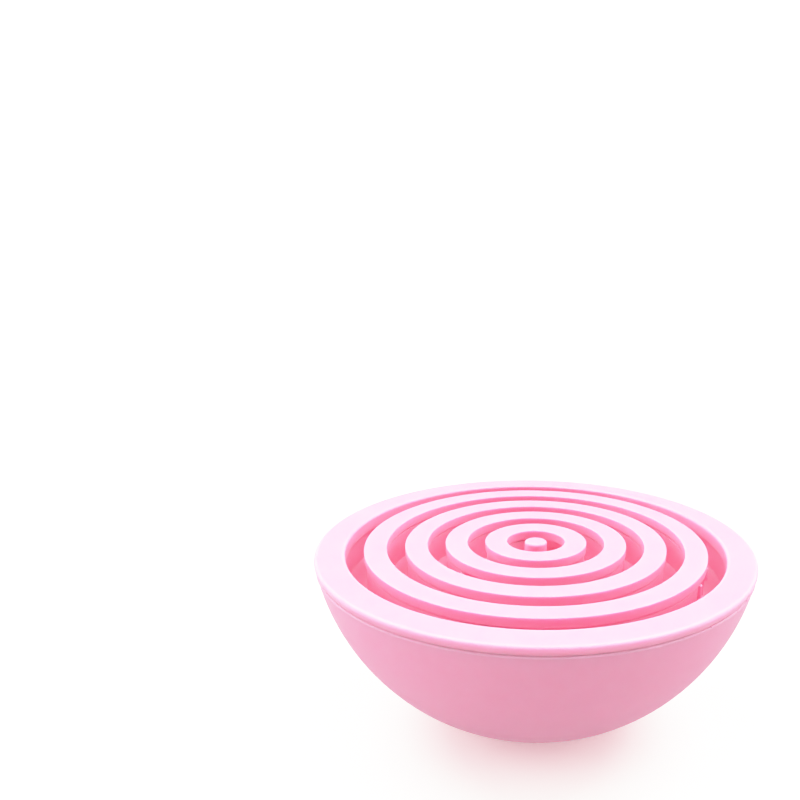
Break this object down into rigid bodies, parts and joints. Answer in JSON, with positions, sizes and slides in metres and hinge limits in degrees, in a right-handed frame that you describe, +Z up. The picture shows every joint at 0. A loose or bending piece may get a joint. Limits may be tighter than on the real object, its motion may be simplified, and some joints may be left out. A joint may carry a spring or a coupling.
{
  "type": "ball maze puzzle",
  "caption": "Half-ball labyrinth toy: a round bowl closed by a flat maze of concentric rings, with steel balls that roll in the channels and pass through hidden gates.",
  "frame": {"origin": "the middle of the flat foot that the bowl stands on", "axes": "+Z up along the axis of the bowl and the rings; -Y towards the viewer; +X to the viewer's right"},
  "size_m": [0.1, 0.1, 0.0432],
  "materials": {
    "bowl_plastic": "fine matt moulded",
    "tray_plastic": "satin moulded",
    "ring_plastic": "satin moulded",
    "ball_steel": "polished"
  },
  "bodies": {
    "puzzle": {"bowl_shell": "bowl_plastic", "maze_tray": "tray_plastic", "top_rim": "ring_plastic", "cap_ring_1": "ring_plastic", "cap_ring_2": "ring_plastic", "cap_ring_3": "ring_plastic", "cap_ring_4": "ring_plastic", "centre_pin": "ring_plastic"},
    "ball_1": {"steel_ball_1": "ball_steel"},
    "ball_2": {"steel_ball_2": "ball_steel"},
    "ball_3": {"steel_ball_3": "ball_steel"}
  },
  "joints": [
    {"name": "ball_1_orbit", "type": "hinge", "parent": "puzzle", "child": "ball_1", "pos_m": [0, 0, 0.0365], "axis": [0, 0, 1], "continuous": true},
    {"name": "ball_2_orbit", "type": "hinge", "parent": "puzzle", "child": "ball_2", "pos_m": [0, 0, 0.0365], "axis": [0, 0, 1], "continuous": true},
    {"name": "ball_3_orbit", "type": "hinge", "parent": "puzzle", "child": "ball_3", "pos_m": [0, 0, 0.0365], "axis": [0, 0, 1], "continuous": true}
  ]
}
